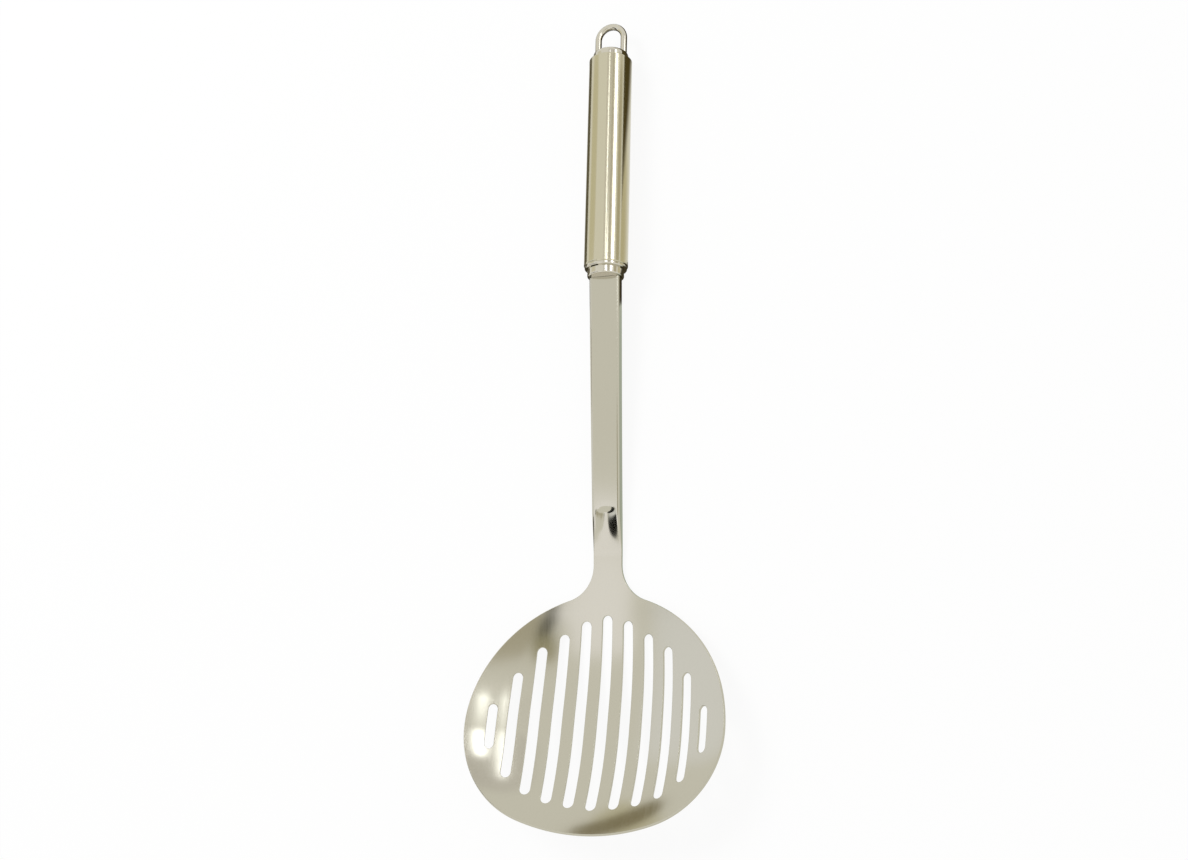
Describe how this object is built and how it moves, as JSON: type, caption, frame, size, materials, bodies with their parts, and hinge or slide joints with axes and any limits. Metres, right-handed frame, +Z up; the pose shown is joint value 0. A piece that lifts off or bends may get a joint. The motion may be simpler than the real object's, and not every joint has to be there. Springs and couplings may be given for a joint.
{
  "type": "skimmer",
  "caption": "Kitchen skimmer with a wide shallow slotted bowl, a hollowed neck, a folded flat shank, a round tube handle and a wire hanging loop.",
  "frame": {"origin": "centre of the bounding box's base, on the table that the skimmer lies on", "axes": "+Y along the length from the bowl to the hanging loop, +Z up out of the open side of the bowl, +X across the bowl"},
  "size_m": [0.1144, 0.368, 0.0282],
  "materials": {
    "sheet_steel": "polished, slightly warm",
    "brushed_steel": "satin, brushed along the tube",
    "polished_steel": "polished"
  },
  "bodies": {
    "root": {"slotted_bowl_and_shank": "sheet_steel", "handle_tube": "brushed_steel", "shank_collar": "polished_steel", "end_cap": "polished_steel", "hanging_loop": "polished_steel"}
  },
  "joints": []
}
